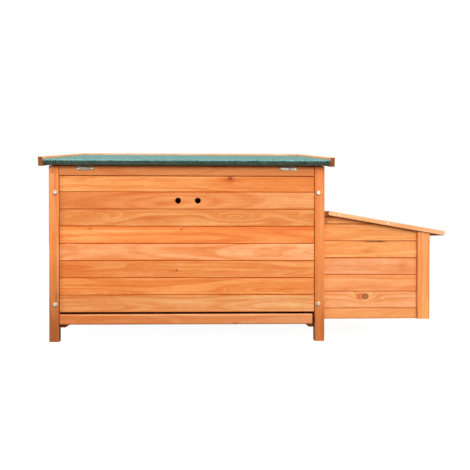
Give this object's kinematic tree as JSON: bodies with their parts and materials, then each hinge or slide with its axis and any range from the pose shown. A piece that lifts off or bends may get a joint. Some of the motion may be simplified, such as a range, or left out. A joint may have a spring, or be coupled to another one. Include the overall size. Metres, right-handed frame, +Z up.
{
  "type": "hen house with nest box",
  "caption": "Small timber hen house with a hinged felt roof, pull-out litter tray, sliding pop door and a side nest box under its own sloping lid.",
  "frame": {"origin": "on the ground, under the middle of the object's bounding box", "axes": "+Z up, +X towards the nest box, -Y towards the low rear wall with the hinges and the tray, +Y towards the entrance"},
  "size_m": [1.371, 0.734, 0.7409],
  "materials": {
    "board_wood": "stained, grooved softwood boards",
    "frame_wood": "stained, planed softwood",
    "trim_wood": "stained softwood edge trim",
    "roofing_felt": "mineral-faced bitumen felt, green",
    "zinc_sheet": "galvanised sheet",
    "plated_steel": "bright zinc plate"
  },
  "bodies": {
    "house": {"rear_post_left": "frame_wood", "rear_post_right": "frame_wood", "rear_top_rail": "frame_wood", "rear_boards": "board_wood", "rear_vent_board": "board_wood", "rear_inner_battens": "frame_wood", "front_post_left": "frame_wood", "front_post_right": "frame_wood", "front_top_rail": "frame_wood", "front_bottom_rail": "frame_wood", "front_boards": "board_wood", "left_stiles": "frame_wood", "left_bottom_rail": "frame_wood", "left_top_rail": "frame_wood", "left_boards": "board_wood", "right_stiles": "frame_wood", "right_bottom_rail": "frame_wood", "right_top_rail": "frame_wood", "right_boards": "board_wood", "nest_pier_stile": "frame_wood", "tray_runners": "frame_wood", "perch": "frame_wood", "perch_cleats": "frame_wood", "door_guides_and_sill": "frame_wood", "nest_rear_boards": "board_wood", "nest_front_boards": "board_wood", "nest_outer_boards": "board_wood", "nest_corner_posts": "frame_wood", "nest_floor": "board_wood", "nest_divider": "board_wood", "nest_fixing_battens": "frame_wood", "nest_ledger": "frame_wood", "nest_brackets": "plated_steel", "connector_bolts": "plated_steel", "roof_hinge_rail_leaves": "plated_steel", "lid_hinge_ledger_leaves": "plated_steel", "hinge_pins": "plated_steel", "hinge_fixed_leaf_screws": "plated_steel"},
    "roof": {"roof_deck": "trim_wood", "roof_felt": "roofing_felt", "roof_trim_left": "trim_wood", "roof_trim_right": "trim_wood", "roof_trim_front": "trim_wood", "roof_battens": "frame_wood", "roof_hinge_deck_leaves": "plated_steel", "roof_hinge_deck_screws": "plated_steel"},
    "nest_lid": {"lid_deck": "trim_wood", "lid_felt": "roofing_felt", "lid_trim_rear": "trim_wood", "lid_trim_front": "trim_wood", "lid_trim_outer": "trim_wood", "lid_trim_nails": "plated_steel", "lid_hinge_lid_leaves": "plated_steel", "lid_hinge_lid_screws": "plated_steel"},
    "tray": {"tray_front_bar": "frame_wood", "tray_pan": "zinc_sheet", "tray_screws": "plated_steel"},
    "pop_door": {"pop_door_planks": "board_wood", "pop_door_battens": "frame_wood", "pop_door_knob": "frame_wood"}
  },
  "joints": [
    {"name": "roof_hinge", "type": "hinge", "parent": "house", "child": "roof", "pos_m": [-0.19154, -0.35157, 0.58858], "axis": [1, 0, 0], "range_deg": [0, 95]},
    {"name": "nest_lid_hinge", "type": "hinge", "parent": "house", "child": "nest_lid", "pos_m": [0.28596, -0.01837, 0.4415], "axis": [0, -1, 0], "range_deg": [0, 90]},
    {"name": "tray_slide", "type": "slide", "parent": "house", "child": "tray", "axis": [0, -1, 0], "range_m": [0, 0.45]},
    {"name": "pop_door_slide", "type": "slide", "parent": "house", "child": "pop_door", "axis": [0, 0, 1], "range_m": [0, 0.24]}
  ]
}
